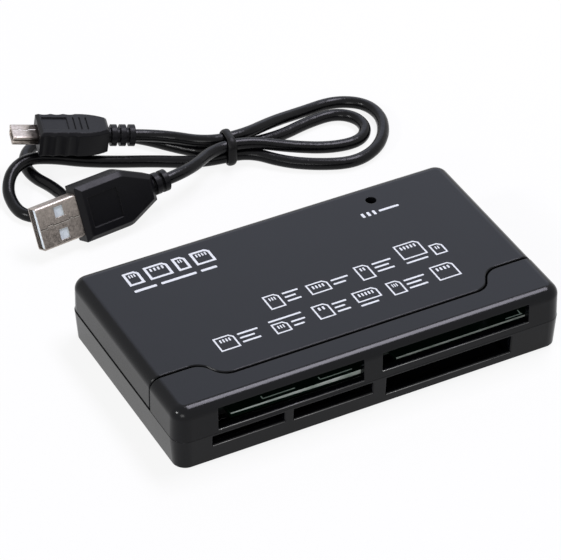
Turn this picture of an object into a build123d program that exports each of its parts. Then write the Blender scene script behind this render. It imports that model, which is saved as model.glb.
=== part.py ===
from build123d import *
import os
from math import cos, pi, radians, sin, tan

# Memory card reader with its tied lead. Millimetres, +Z up.
# The origin is on the table under the middle of the case, and the card slots face -Y.

# Case walls and the stack between floor and roof
wall = 1.8
lower_bay = 8.2
board_thick = 1.6
upper_bay = 5.6
case_depth = 64.6
case_corner = 4.2
part_height = 9.3
lower_draft = 4.0
upper_draft = 1.0
lip = 0.22
front_lip = 0.06
top_round = 3.0
foot_bevel = 0.6
tongue_thick = 0.8
tongue_height = 1.2
fit_gap = 0.15

# Top seam between the front of the lower shell and the cover
seam_setback = 16.3
seam_bow = 6.7
seam_shoulder = 41.7
seam_slope = 3.7
seam_bend = 5.0
seam_gap = 0.6
seam_bevel = 0.25

# Card slots in the front face, from left to right
left_margin = 11.6
wide_slot_width = 41.4
wide_slot_height = 6.5
slot_rib = 5.3
pin_slot_width = 43.2
pin_slot_height = 5.4
right_margin = 10.5
micro_slot_step = 1.5
micro_slot_width = 20.2
micro_slot_height = 2.8
lower_rib = 2.7
stick_slot_width = 22.6
stick_slot_height = 3.25
bank_rib = 4.1
thin_slot_width = 36.8
thin_slot_height = 5.3
slot_roof_gap = 0.15
slot_board_gap = 1.5
slot_bevel = 0.3
guide_thick = 1.2
guide_inset = 2.0
guide_length = 12.0
guide_gap = 0.15

# Circuit board, its notches and its screws
board_gap = 1.2
board_setback = 1.3
notch_depth = 4.0
left_notch = 13.3
rib_notch = 7.0
rib_notch_offset = 1.3
screw_inset = 3.4
screw_front = 24.3
screw_rear = 10.3
boss_diameter = 5.0
screw_shank = 1.9
screw_length = 7.0
screw_head = 3.8
screw_head_height = 1.3

# Sockets
card_gap = 0.5
pin_socket_setback = 28.0
pin_body_depth = 5.5
pin_body_height = 5.2
pin_arm_thick = 1.4
pin_arm_length = 19.0
pin_count = 25
pin_pitch = 1.27
pin_side = 0.45
pin_length = 5.0
pin_row_height = 2.2
wide_card_width = 24.0
wide_frame_wall = 1.6
wide_frame_height = 3.0
wide_frame_setback = 6.4
wide_frame_depth = 25.0
wide_frame_back = 5.0
stick_card_width = 21.5
stick_block_setback = 14.0
thin_card_width = 25.0
thin_block_setback = 11.0
block_depth = 9.0
block_foot = 1.1
block_stop = 2.2
block_reach = 4.4
contact_thick = 0.25
contact_reach = 6.0
contact_bend = 4.5
contact_rise = 1.0
contact_share = 0.6
wide_contact_count = 9
wide_contact_pitch = 2.5
stick_contact_count = 10
stick_contact_pitch = 1.9
thin_contact_count = 18
thin_contact_pitch = 1.3
micro_card_width = 12.5
micro_socket_setback = 7.8
micro_socket_depth = 15.0
micro_frame_wall = 0.9
micro_body_height = 2.2
micro_channel = 1.5
micro_contact_count = 8
micro_contact_pitch = 1.1
micro_contact_width = 0.5
micro_contact_length = 5.0
micro_contact_setback = 9.0
sheet = 0.25

# Lead socket in the rear wall, access light and the parts of the circuit
usb_socket_x = 0.0
usb_socket_width = 7.7
usb_socket_height = 3.9
usb_socket_depth = 9.2
usb_socket_proud = 0.3
usb_neck = 5.9
usb_window_gap = 0.6
usb_window_corner = 1.0
tongue_width = 4.0
tongue_plate = 0.9
tongue_reach = 6.0
tongue_base = 2.4
usb_contact_count = 5
usb_contact_pitch = 0.8
usb_contact_length = 4.8
connector_waist = 0.1
light_x = 29.8
light_inset = 7.8
light_diameter = 3.0
light_flange = 3.8
light_flange_height = 1.0
light_height = 4.4
light_bevel = 0.6
chip_side = 7.0
chip_height = 1.4
chip_standoff = 0.1
chip_lead_count = 8
chip_pitch = 0.8
chip_lead_reach = 1.0
chip_lead_thick = 0.15
chip_lead_width = 0.35
chip_x = -12.0
chip_inset = 16.0
crystal_length = 11.2
crystal_width = 4.7
crystal_height = 3.5
crystal_rim = 0.45
crystal_x = 3.0
regulator_x = -33.0
regulator_width = 6.5
regulator_depth = 3.5
regulator_height = 1.6
regulator_taper = 5.0
leg_width = 0.8
leg_reach = 1.7
leg_thick = 0.3
capacitor_x = 24.0
capacitor_pitch = 4.2
capacitor_column_count = 5
capacitor_row_count = 2
capacitor_length = 2.0
capacitor_width = 1.2
capacitor_height = 0.85
resistor_shift = 10.5
resistor_pitch = 2.4
resistor_column_count = 2
resistor_row_count = 4
resistor_length = 1.6
resistor_width = 0.8
resistor_height = 0.5

# Lead: plugs, cable and tie
cable_diameter = 3.5
relief_ring = 1.6
relief_groove = 1.0
relief_diameter = 6.2
relief_core = 4.4
usb_plug_width = 12.0
usb_plug_height = 4.5
usb_plug_reach = 12.5
usb_plug_sheet = 0.3
usb_plug_corner = 0.6
usb_plug_window_length = 2.8
usb_plug_window_width = 3.0
usb_plug_window_x = 6.7
usb_plug_window_y = 3.2
usb_tongue_thick = 1.9
usb_pad_count = 4
usb_pad_pitch = 2.2
usb_pad_length = 8.5
usb_grip_width = 15.8
usb_grip_height = 8.0
usb_grip_length = 23.5
usb_grip_straight = 14.5
usb_grip_neck = 7.4
usb_grip_bevel = 1.4
usb_shoulder_bend = 5.0
usb_ring_count = 2
usb_panel_length = 9.3
usb_panel_width = 8.7
mini_plug_width = 6.8
mini_plug_height = 3.0
mini_plug_neck = 5.2
mini_plug_reach = 7.3
mini_plug_sheet = 0.3
mini_core_length = 1.5
mini_core_slot = 1.2
mini_grip_width = 11.0
mini_grip_height = 8.0
mini_grip_length = 20.0
mini_grip_straight = 12.0
mini_grip_neck = 6.8
mini_grip_bevel = 0.8
mini_ring_count = 3
mini_contact_length = 4.6
mini_panel_setback = 4.8
mini_panel_length = 7.2
mini_panel_width = 6.0
scallop_count = 3
scallop_pitch = 3.6
scallop_radius = 3.0
groove_count = 3
groove_pitch = 1.8
groove_width = 0.35
panel_depth = 0.35
tie_width = 2.6
tie_thick = 1.0
tie_gap = 0.15
strand_gap = 0.1
bend_share = 0.45

# Where the lead lies on the table behind the reader
usb_plug_tip = (-49.8, 67.2, 8.35)
usb_plug_turn = 6.4
usb_plug_pitch = 0.0
usb_plug_roll = 65.0
mini_plug_tip = (-40.5, 105.3, 12.8)
mini_plug_turn = -15.3
mini_plug_pitch = -8.6
mini_plug_roll = 0.0
tie_place = (15.7, 82.2)
tie_turn = -6.0
tie_straight = 5.5
lead_out = 8.0

# Levels and edges that follow from the sizes above
board_low = wall + lower_bay
board_top = board_low + board_thick
roof = board_top + upper_bay
case_height = roof + wall
case_width = left_margin + wide_slot_width + slot_rib + pin_slot_width + right_margin
half_width = case_width / 2
half_depth = case_depth / 2
inner_width = case_width - 2 * (lip + wall)
inner_depth = case_depth - 2 * (lip + wall)
inner_corner = case_corner - lip - wall
foot_inset = part_height * tan(radians(lower_draft))
wide_left = left_margin - half_width
pin_left = wide_left + wide_slot_width + slot_rib
micro_left = wide_left - micro_slot_step
stick_left = micro_left + micro_slot_width + lower_rib
thin_left = stick_left + stick_slot_width + bank_rib
wide_x = wide_left + wide_slot_width / 2
pin_x = pin_left + pin_slot_width / 2
micro_x = micro_left + micro_slot_width / 2
stick_x = stick_left + stick_slot_width / 2
thin_x = thin_left + thin_slot_width / 2
upper_slot_top = roof - slot_roof_gap
lower_slot_top = board_low - slot_board_gap
board_front = -half_depth + wall + board_setback
board_rear = inner_depth / 2 - board_gap
board_width = inner_width - 2 * board_gap
screw_x = board_width / 2 - screw_inset
screw_places = [(-screw_x, screw_front - half_depth), (screw_x, half_depth - screw_rear)]


def save(piece, name):
    """Label a finished piece and write it to its own file."""
    piece.label = name
    export_step(piece, f"parts/{name}.step")


os.makedirs("parts", exist_ok=True)


# Case
def seam_line(shift):
    """Plan line of the top seam, moved forward by shift: an S at each side and a bow in the middle."""
    rear = -seam_setback - shift
    front = -seam_setback - seam_bow - shift
    points = [(half_width + wall, rear), (seam_shoulder, rear), (seam_shoulder - seam_slope, front)]
    points += [(-x, y) for x, y in reversed(points)]
    return FilletPolyline(*points, radius=seam_bend)


def front_region(shift):
    """Plan face of everything in front of the seam line."""
    with BuildSketch(Plane.XY.offset(part_height)) as region:
        with BuildLine():
            edge = seam_line(shift)
            start = edge @ 0
            end = edge @ 1
            Polyline(start, (start.X, -case_depth), (end.X, -case_depth), end)
        make_face()
    return region.sketch


def upper_half(inset):
    """Solid form of the case above the parting line, set in from the lower half on every side."""
    with BuildPart() as half:
        with BuildSketch(Plane.XY.offset(part_height)):
            RectangleRounded(case_width - 2 * inset, case_depth - 2 * inset, case_corner - inset)
        extrude(amount=case_height - part_height, taper=upper_draft)
        fillet(half.edges().group_by(Axis.Z)[-1], top_round)
    return half.part


with BuildLine() as seam:
    seam_line(0)


def seam_edges(builder):
    """Outer edges of a shell that run along the seam, down to the parting line."""

    def beside(edge):
        for share in (0.1, 0.5, 0.9):
            point = edge @ share
            outside = point.Z > roof + wall / 2 or abs(point.X) > inner_width / 2 + wall / 2
            if not outside or seam.line.distance_to(Vertex(point.X, point.Y, 0)) > seam_gap:
                return False
        return edge.center().Z > part_height + lip

    return builder.edges().filter_by(beside)


front_slots = [
    (wide_x, wide_slot_width, wide_slot_height, upper_slot_top),
    (pin_x, pin_slot_width, pin_slot_height, upper_slot_top),
    (micro_x, micro_slot_width, micro_slot_height, lower_slot_top),
    (stick_x, stick_slot_width, stick_slot_height, lower_slot_top),
    (thin_x, thin_slot_width, thin_slot_height, lower_slot_top),
]

front_zone = front_region(seam_gap / 2)
cover_limit = front_region(-seam_gap / 2)

with BuildPart() as front_block:
    add(upper_half(front_lip))
    extrude(front_zone, amount=case_height, mode=Mode.INTERSECT)

with BuildPart() as bottom_shell:
    with BuildSketch():
        RectangleRounded(case_width - 2 * foot_inset, case_depth - 2 * foot_inset, case_corner - foot_inset)
    extrude(amount=part_height, taper=-lower_draft)
    chamfer(bottom_shell.edges().group_by(Axis.Z)[0], foot_bevel)
    add(front_block.part)
    with BuildSketch(Plane.XY.offset(wall)):
        RectangleRounded(inner_width, inner_depth, inner_corner)
    extrude(amount=roof - wall, mode=Mode.SUBTRACT)
    # Tongue along the sides and rear, which the cover fits over
    with BuildSketch(Plane.XY.offset(part_height)):
        outer_width = inner_width + 2 * tongue_thick
        outer_depth = inner_depth + 2 * tongue_thick
        RectangleRounded(outer_width, outer_depth, inner_corner + tongue_thick)
        RectangleRounded(inner_width, inner_depth, inner_corner, mode=Mode.SUBTRACT)
        with Locations((0, -half_depth)):
            Rectangle(case_width, case_depth - 2 * (seam_setback - tongue_thick), mode=Mode.SUBTRACT)
    extrude(amount=tongue_height)
    # Slots, with a bevel round each mouth
    with BuildSketch(Plane.XZ.offset(half_depth)):
        for x, width, height, top in front_slots:
            with Locations((x, top - height / 2)):
                Rectangle(width, height)
    extrude(amount=2 * wall, both=True, mode=Mode.SUBTRACT)
    front_faces = bottom_shell.faces().sort_by(Axis.Y)[:2]
    mouths = [wire.edges() for face in front_faces for wire in face.inner_wires()]
    chamfer(sum(mouths, ShapeList()), slot_bevel)
    # Floor guides that carry the cards of the lower row
    for x, width, height, top in front_slots[2:]:
        rise = top - height - guide_gap - wall
        spread = width - 2 * guide_inset
        with BuildSketch(Plane.XY.offset(wall)):
            with Locations((x, -inner_depth / 2 + guide_length / 2)):
                with GridLocations(spread, 0, 2, 1):
                    Rectangle(guide_thick, guide_length)
        extrude(amount=rise)
    # Bosses under the board
    with BuildSketch(Plane.XY.offset(wall)):
        with Locations(*screw_places):
            Circle(boss_diameter / 2)
    extrude(amount=lower_bay)
    with BuildSketch(Plane.XY.offset(board_low)):
        with Locations(*screw_places):
            Circle(screw_shank / 2 + fit_gap / 2)
    extrude(amount=-screw_length, mode=Mode.SUBTRACT)
    chamfer(seam_edges(bottom_shell), seam_bevel)
save(bottom_shell.part, "bottom_shell")

usb_level = board_top + usb_socket_height / 2
light_y = half_depth - light_inset

with BuildPart() as top_cover:
    add(upper_half(lip))
    extrude(cover_limit, amount=case_height, mode=Mode.SUBTRACT)
    with BuildSketch(Plane.XY.offset(part_height)):
        RectangleRounded(inner_width, inner_depth, inner_corner)
    extrude(amount=roof - part_height, mode=Mode.SUBTRACT)
    # Rebate for the tongue of the lower shell
    rebate = tongue_thick + fit_gap
    with BuildSketch(Plane.XY.offset(part_height)):
        RectangleRounded(inner_width + 2 * rebate, inner_depth + 2 * rebate, inner_corner + rebate)
    extrude(amount=tongue_height + fit_gap, mode=Mode.SUBTRACT)
    # Access light hole and the window of the lead socket
    with BuildSketch(Plane.XY.offset(roof)):
        with Locations((light_x, light_y)):
            Circle(light_diameter / 2)
    extrude(amount=2 * wall, mode=Mode.SUBTRACT)
    with BuildSketch(Plane.XZ.offset(-half_depth)):
        with Locations((usb_socket_x, usb_level)):
            window_width = usb_socket_width + 2 * usb_window_gap
            window_height = usb_socket_height + 2 * usb_window_gap
            RectangleRounded(window_width, window_height, usb_window_corner)
    extrude(amount=2 * wall, both=True, mode=Mode.SUBTRACT)
    chamfer(seam_edges(top_cover), seam_bevel)
save(top_cover.part, "top_cover")

# Circuit board
with BuildPart() as circuit_board:
    with BuildSketch(Plane.XY.offset(board_low)):
        with Locations((0, (board_front + board_rear) / 2)):
            Rectangle(board_width, board_rear - board_front)
        with Locations((-board_width / 2 + left_notch / 2, board_front)):
            Rectangle(left_notch, 2 * notch_depth, mode=Mode.SUBTRACT)
        with Locations((pin_left - rib_notch_offset + rib_notch / 2, board_front)):
            Rectangle(rib_notch, 2 * notch_depth, mode=Mode.SUBTRACT)
        with Locations(*screw_places):
            Circle(screw_shank / 2 + fit_gap, mode=Mode.SUBTRACT)
    extrude(amount=board_thick)
save(circuit_board.part, "circuit_board")

with BuildPart() as board_screws:
    with BuildSketch(Plane.XY.offset(board_top)):
        with Locations(*screw_places):
            Circle(screw_head / 2)
    extrude(amount=screw_head_height)
    with BuildSketch(Plane.XY.offset(board_top)):
        with Locations(*screw_places):
            Circle(screw_shank / 2)
    extrude(amount=fit_gap - screw_length + board_thick)
save(board_screws.part, "board_screws")

# Pin card socket: header with two guide arms, and two rows of pins
pin_face = pin_socket_setback - half_depth

with BuildPart() as pin_header:
    body_width = pin_slot_width + 2 * pin_arm_thick
    with BuildSketch(Plane.XY.offset(board_top)):
        with Locations((pin_x, pin_face + pin_body_depth / 2)):
            Rectangle(body_width, pin_body_depth)
        with Locations((pin_x, pin_face - pin_arm_length / 2)):
            with GridLocations(pin_slot_width + pin_arm_thick, 0, 2, 1):
                Rectangle(pin_arm_thick, pin_arm_length)
    extrude(amount=pin_body_height)
save(pin_header.part, "pin_header")

with BuildPart() as header_pins:
    with BuildSketch(Plane.XZ.offset(-pin_face)):
        with Locations((pin_x, board_top + pin_row_height)):
            with GridLocations(pin_pitch, pin_pitch, pin_count, 2):
                Rectangle(pin_side, pin_side)
    extrude(amount=pin_length)
save(header_pins.part, "header_pins")


# Contact rows of the flat card sockets
def contact_block(x, width, front, seat, side):
    """Moulded bar on the board (side 1 above, -1 below): a foot, and a stop for the end of the card."""
    foot = seat + side * block_foot
    tip = seat + side * block_reach
    rear = front + block_depth
    stop = rear - block_stop
    with BuildPart() as block:
        with BuildSketch(Plane.YZ.offset(x)):
            profile = [(front, seat), (rear, seat), (rear, tip), (stop, tip), (stop, foot), (front, foot)]
            with BuildLine():
                Polyline(*profile, close=True)
            make_face()
        extrude(amount=width / 2, both=True)
    return block.part


def contact_row(x, count, pitch, root, seat, side):
    """Row of spring strips that reach forward from the stop and bow towards the card."""
    step = side * contact_thick
    crest = side * contact_rise
    low = seat + side * block_foot
    bend = root - contact_bend
    tip = root - contact_reach
    with BuildPart() as row:
        with BuildSketch(Plane.YZ.offset(x)):
            with BuildLine():
                Polyline(
                    (root, low),
                    (bend, low + crest),
                    (tip, low),
                    (tip, low + step),
                    (bend, low + crest + step),
                    (root, low + step),
                    close=True,
                )
            make_face()
        extrude(amount=count * pitch / 2, both=True)
        with BuildSketch(Plane.XY.offset(seat)):
            with Locations((x, root - contact_reach / 2)):
                with GridLocations(pitch, 0, count, 1):
                    Rectangle(contact_share * pitch, contact_reach)
        extrude(amount=side * block_reach, mode=Mode.INTERSECT)
    return row.part


frame_front = wide_frame_setback - half_depth
frame_rear = frame_front + wide_frame_depth
frame_width = wide_card_width + card_gap

with BuildPart() as wide_frame:
    with BuildSketch(Plane.XY.offset(board_top)):
        with Locations((wide_x, (frame_front + frame_rear) / 2)):
            Rectangle(frame_width + 2 * wide_frame_wall, wide_frame_depth)
        with Locations((wide_x, (frame_front + frame_rear) / 2 - wide_frame_back)):
            Rectangle(frame_width, wide_frame_depth, mode=Mode.SUBTRACT)
    extrude(amount=wide_frame_height)
save(wide_frame.part, "wide_frame")

wide_root = frame_rear - wide_frame_back
wide_contacts = contact_row(wide_x, wide_contact_count, wide_contact_pitch, wide_root, board_top, 1)
save(wide_contacts, "wide_contacts")

stick_front = stick_block_setback - half_depth
stick_block = contact_block(stick_x, stick_card_width, stick_front, board_low, -1)
save(stick_block, "stick_block")
stick_root = stick_front + block_depth - block_stop
stick_contacts = contact_row(stick_x, stick_contact_count, stick_contact_pitch, stick_root, board_low, -1)
save(stick_contacts, "stick_contacts")

thin_front = thin_block_setback - half_depth
thin_block = contact_block(thin_x, thin_card_width, thin_front, board_low, -1)
save(thin_block, "thin_block")
thin_root = thin_front + block_depth - block_stop
thin_contacts = contact_row(thin_x, thin_contact_count, thin_contact_pitch, thin_root, board_low, -1)
save(thin_contacts, "thin_contacts")

# Micro card socket under the board
micro_front = micro_socket_setback - half_depth
micro_outer = micro_card_width + card_gap + 2 * micro_frame_wall
micro_floor = board_low - micro_body_height

with BuildPart() as micro_body:
    with BuildSketch(Plane.XY.offset(board_low)):
        with Locations((micro_x, micro_front + micro_socket_depth / 2)):
            Rectangle(micro_outer, micro_socket_depth)
    extrude(amount=-micro_body_height)
save(micro_body.part, "micro_body")

with BuildPart() as micro_cover:
    shell_height = micro_body_height / 2 + micro_channel + sheet
    shell_width = micro_outer + 2 * (sheet + fit_gap / 3)
    shell_low = micro_floor - micro_channel - sheet
    with BuildSketch(Plane.XZ.offset(-micro_front)):
        with Locations((micro_x, shell_low + shell_height / 2)):
            Rectangle(shell_width, shell_height)
        with Locations((micro_x, shell_low + sheet + shell_height / 2)):
            Rectangle(shell_width - 2 * sheet, shell_height, mode=Mode.SUBTRACT)
    extrude(amount=-micro_socket_depth)
save(micro_cover.part, "micro_cover")

with BuildPart() as micro_contacts:
    with BuildSketch(Plane.XY.offset(micro_floor)):
        with Locations((micro_x, micro_front + micro_contact_setback)):
            with GridLocations(micro_contact_pitch, 0, micro_contact_count, 1):
                Rectangle(micro_contact_width, micro_contact_length)
    extrude(amount=-contact_thick)
save(micro_contacts.part, "micro_contacts")

# Lead socket on the rear edge of the board
usb_mouth = inner_depth / 2 + usb_socket_proud
usb_back = usb_mouth - usb_socket_depth


def connector_face(plane, x, y, width, neck, height):
    """Closed face of a small lead connector: full width above, drawn in to the neck below."""
    half = width / 2
    low = neck / 2
    waist = -connector_waist * height
    right = [(half, height / 2), (half, waist), (low, waist - (half - low)), (low, -height / 2)]
    points = right + [(-u, v) for u, v in reversed(right)]
    with BuildSketch(plane) as face:
        with BuildLine():
            Polyline(*[(x + u, y + v) for u, v in points], close=True)
        make_face()
    return face.sketch


def shrunk(thickness):
    """Sizes of the lead socket's outline, drawn in by a thickness on every side."""
    return usb_socket_width - 2 * thickness, usb_neck - 2 * thickness, usb_socket_height - 2 * thickness


socket_plane = Plane.XZ.offset(-usb_mouth)

with BuildPart() as usb_socket_shell:
    extrude(connector_face(socket_plane, usb_socket_x, usb_level, *shrunk(0)), amount=usb_socket_depth)
    extrude(
        connector_face(socket_plane, usb_socket_x, usb_level, *shrunk(sheet)),
        amount=usb_socket_depth,
        mode=Mode.SUBTRACT,
    )
save(usb_socket_shell.part, "usb_socket_shell")

with BuildPart() as usb_socket_tongue:
    back_plane = Plane.XZ.offset(-usb_back)
    inside = shrunk(sheet + fit_gap / 3)
    extrude(connector_face(back_plane, usb_socket_x, usb_level, *inside), amount=-tongue_base)
    with BuildSketch(Plane.XZ.offset(-usb_back - tongue_base)):
        with Locations((usb_socket_x, usb_level)):
            Rectangle(tongue_width, tongue_plate)
    extrude(amount=-tongue_reach)
save(usb_socket_tongue.part, "usb_socket_tongue")

with BuildPart() as usb_socket_contacts:
    with BuildSketch(Plane.XY.offset(usb_level - tongue_plate / 2)):
        with Locations((usb_socket_x, usb_back + tongue_base + tongue_reach / 2)):
            with GridLocations(usb_contact_pitch, 0, usb_contact_count, 1):
                Rectangle(usb_contact_pitch / 2, usb_contact_length)
    extrude(amount=-contact_thick / 2)
save(usb_socket_contacts.part, "usb_socket_contacts")

# Access light under its hole
with BuildPart() as access_light:
    with BuildSketch(Plane.XY.offset(board_top)):
        with Locations((light_x, light_y)):
            Circle(light_flange / 2)
    extrude(amount=light_flange_height)
    with BuildSketch(Plane.XY.offset(board_top + light_flange_height)):
        with Locations((light_x, light_y)):
            Circle(light_diameter / 2)
    extrude(amount=light_height - light_flange_height)
    chamfer(access_light.edges().group_by(Axis.Z)[-1], light_bevel)
save(access_light.part, "access_light")

# Controller chip with leads on its four sides
chip_y = half_depth - chip_inset
chip_low = board_top + chip_standoff

with BuildPart() as controller_chip:
    with BuildSketch(Plane.XY.offset(chip_low)):
        with Locations((chip_x, chip_y)):
            Rectangle(chip_side, chip_side)
    extrude(amount=chip_height)
    chamfer(controller_chip.edges().group_by(Axis.Z)[-1], chip_height / 10)
save(controller_chip.part, "controller_chip")

with BuildPart() as chip_legs:
    knee = chip_low + chip_height / 2
    root = chip_side / 2
    bend = root + chip_lead_reach / 2
    toe = root + chip_lead_reach
    profile = [
        (root, knee),
        (bend, knee),
        (bend, board_top + chip_lead_thick),
        (toe, board_top + chip_lead_thick),
        (toe, board_top),
        (bend - chip_lead_thick, board_top),
        (bend - chip_lead_thick, knee - chip_lead_thick),
        (root, knee - chip_lead_thick),
    ]
    for turn in (0, 90, 180, 270):
        # Section across one side of the chip, with X outwards and Y up
        outward = Vector(cos(radians(turn)), sin(radians(turn)), 0)
        with BuildSketch(Plane((chip_x, chip_y, 0), x_dir=outward, z_dir=outward.cross(Vector(0, 0, 1)))):
            with BuildLine():
                Polyline(*profile, close=True)
            make_face()
        extrude(amount=root, both=True)
    with BuildSketch(Plane.XY.offset(board_top)):
        with Locations((chip_x, chip_y)):
            with PolarLocations(root + chip_lead_reach / 2, 4):
                with GridLocations(0, chip_pitch, 1, chip_lead_count):
                    Rectangle(chip_lead_reach, chip_lead_width)
    extrude(amount=chip_height, mode=Mode.INTERSECT)
save(chip_legs.part, "chip_legs")

# Crystal, regulator and chip parts
with BuildPart() as crystal:
    with BuildSketch(Plane.XY.offset(board_top)):
        with Locations((crystal_x, chip_y)):
            SlotOverall(crystal_length, crystal_width)
    extrude(amount=crystal_rim)
    with BuildSketch(Plane.XY.offset(board_top + crystal_rim)):
        with Locations((crystal_x, chip_y)):
            SlotOverall(crystal_length - 2 * crystal_rim, crystal_width - 2 * crystal_rim)
    extrude(amount=crystal_height - crystal_rim)
    chamfer(crystal.edges().group_by(Axis.Z)[-1], crystal_rim)
save(crystal.part, "crystal")

with BuildPart() as regulator:
    with BuildSketch(Plane.XY.offset(board_top)):
        with Locations((regulator_x, chip_y)):
            Rectangle(regulator_width, regulator_depth)
    extrude(amount=regulator_height, taper=regulator_taper)
save(regulator.part, "regulator")

with BuildPart() as regulator_legs:
    with BuildSketch(Plane.XY.offset(board_top)):
        with Locations((regulator_x, chip_y - regulator_depth / 2 - leg_reach / 2)):
            with GridLocations(regulator_width / 3, 0, 3, 1):
                Rectangle(leg_width, leg_reach)
        with Locations((regulator_x, chip_y + regulator_depth / 2 + leg_reach / 2)):
            Rectangle(regulator_width / 2, leg_reach)
    extrude(amount=leg_thick)
save(regulator_legs.part, "regulator_legs")

with BuildPart() as chip_capacitors:
    with BuildSketch(Plane.XY.offset(board_top)):
        with Locations((capacitor_x, chip_y)):
            with GridLocations(capacitor_pitch, capacitor_pitch, capacitor_column_count, capacitor_row_count):
                Rectangle(capacitor_length, capacitor_width)
    extrude(amount=capacitor_height)
save(chip_capacitors.part, "chip_capacitors")

with BuildPart() as chip_resistors:
    with BuildSketch(Plane.XY.offset(board_top)):
        with Locations((chip_x - resistor_shift, chip_y)):
            with GridLocations(resistor_pitch, resistor_pitch, resistor_column_count, resistor_row_count):
                Rectangle(resistor_length, resistor_width)
    extrude(amount=resistor_height)
save(chip_resistors.part, "chip_resistors")


# Lead
relief_pitch = relief_ring + relief_groove


def plug_frame(tip, turn, pitch, roll):
    """Plane through a plug's tip: X back along the plug, Z out of its broad face, rolled towards -Y."""
    level = Vector(cos(radians(turn)), sin(radians(turn)), 0)
    aside = Vector(-level.Y, level.X, 0)
    along = level * cos(radians(pitch)) + Vector(0, 0, sin(radians(pitch)))
    face = along.cross(aside) * cos(radians(roll)) - aside * sin(radians(roll))
    return Plane(tip, x_dir=along, z_dir=face)


def across(frame, distance):
    """Plane across a plug, a distance behind its tip, facing back along the plug."""
    return Plane(frame.from_local_coords(Vector(distance, 0, 0)), x_dir=frame.y_dir, z_dir=frame.x_dir)


def strain_relief(frame, start, ring_count):
    """Ribbed sleeve behind a grip: a core with rings between grooves."""
    with BuildPart() as sleeve:
        with BuildSketch(across(frame, start)):
            Circle(relief_core / 2)
        extrude(amount=ring_count * relief_pitch)
        for ring in range(ring_count):
            with BuildSketch(across(frame, start + ring * relief_pitch + relief_groove)):
                Circle(relief_diameter / 2)
            extrude(amount=relief_ring)
    return sleeve.part


usb_frame = plug_frame(usb_plug_tip, usb_plug_turn, usb_plug_pitch, usb_plug_roll)
usb_grip_end = usb_plug_reach + usb_grip_length
usb_plug_end = usb_grip_end + usb_ring_count * relief_pitch
usb_inner_width = usb_plug_width - 2 * usb_plug_sheet
usb_inner_height = usb_plug_height - 2 * usb_plug_sheet
inner_bend = usb_plug_corner - usb_plug_sheet

with BuildPart() as usb_plug_shell:
    with BuildSketch(across(usb_frame, 0)):
        RectangleRounded(usb_plug_width, usb_plug_height, usb_plug_corner)
        RectangleRounded(usb_inner_width, usb_inner_height, inner_bend, mode=Mode.SUBTRACT)
    extrude(amount=usb_plug_reach)
    with BuildSketch(usb_frame):
        with Locations((usb_plug_window_x, 0)):
            with GridLocations(0, 2 * usb_plug_window_y, 1, 2):
                Rectangle(usb_plug_window_length, usb_plug_window_width)
    extrude(amount=usb_plug_height, both=True, mode=Mode.SUBTRACT)
save(usb_plug_shell.part, "usb_plug_shell")

tongue_height_above = usb_inner_height / 2 - usb_tongue_thick / 2 - fit_gap / 3

with BuildPart() as usb_plug_insulator:
    with BuildSketch(across(usb_frame, usb_plug_sheet)):
        with Locations((0, tongue_height_above)):
            RectangleRounded(usb_inner_width - fit_gap, usb_tongue_thick, inner_bend)
    extrude(amount=usb_plug_reach - usb_plug_sheet)
save(usb_plug_insulator.part, "usb_plug_insulator")

with BuildPart() as usb_plug_contacts:
    with BuildSketch(usb_frame.offset(tongue_height_above - usb_tongue_thick / 2)):
        with Locations((usb_plug_reach / 2, 0)):
            with GridLocations(0, usb_pad_pitch, 1, usb_pad_count):
                Rectangle(usb_pad_length, usb_pad_pitch / 2)
    extrude(amount=-contact_thick)
save(usb_plug_contacts.part, "usb_plug_contacts")

with BuildPart() as usb_plug_grip:
    with BuildSketch(usb_frame.offset(-usb_grip_height / 2)) as outline:
        half = usb_grip_width / 2
        neck = usb_grip_neck / 2
        shoulder = usb_plug_reach + usb_grip_straight
        side = [(usb_plug_reach, half), (shoulder, half), (usb_grip_end, neck)]
        with BuildLine():
            Polyline(*side, *[(x, -y) for x, y in reversed(side)], close=True)
        make_face()
        fillet(outline.vertices().group_by(Axis.X)[1], usb_shoulder_bend)
    extrude(amount=usb_grip_height)
    broad = usb_plug_grip.faces().sort_by(Axis(usb_frame.origin, usb_frame.z_dir))
    chamfer(broad[0].edges() + broad[-1].edges(), usb_grip_bevel)
    for level, cut in ((usb_grip_height / 2, -panel_depth), (-usb_grip_height / 2, panel_depth)):
        with BuildSketch(usb_frame.offset(level)):
            with Locations((usb_plug_reach + usb_grip_straight / 2, 0)):
                Rectangle(usb_panel_length, usb_panel_width)
        extrude(amount=cut, mode=Mode.SUBTRACT)
    add(strain_relief(usb_frame, usb_grip_end, usb_ring_count))
save(usb_plug_grip.part, "usb_plug_grip")

mini_frame = plug_frame(mini_plug_tip, mini_plug_turn, mini_plug_pitch, mini_plug_roll)
mini_grip_end = mini_plug_reach + mini_grip_length
mini_plug_end = mini_grip_end + mini_ring_count * relief_pitch
mini_tip_plane = across(mini_frame, 0)


def mini_face(plane, thickness):
    """Face of the small plug's shell, drawn in by a thickness on every side."""
    sizes = [size - 2 * thickness for size in (mini_plug_width, mini_plug_neck, mini_plug_height)]
    return connector_face(plane, 0, 0, *sizes)


with BuildPart() as mini_plug_shell:
    extrude(mini_face(mini_tip_plane, 0), amount=mini_plug_reach)
    extrude(mini_face(mini_tip_plane, mini_plug_sheet), amount=mini_plug_reach, mode=Mode.SUBTRACT)
save(mini_plug_shell.part, "mini_plug_shell")

with BuildPart() as mini_plug_insulator:
    seat = across(mini_frame, mini_plug_reach)
    extrude(mini_face(seat, mini_plug_sheet + fit_gap / 3), amount=mini_core_length - mini_plug_reach)
    with BuildSketch(seat):
        Rectangle(tongue_width + card_gap, mini_core_slot)
    extrude(amount=-mini_plug_reach, mode=Mode.SUBTRACT)
save(mini_plug_insulator.part, "mini_plug_insulator")

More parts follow.
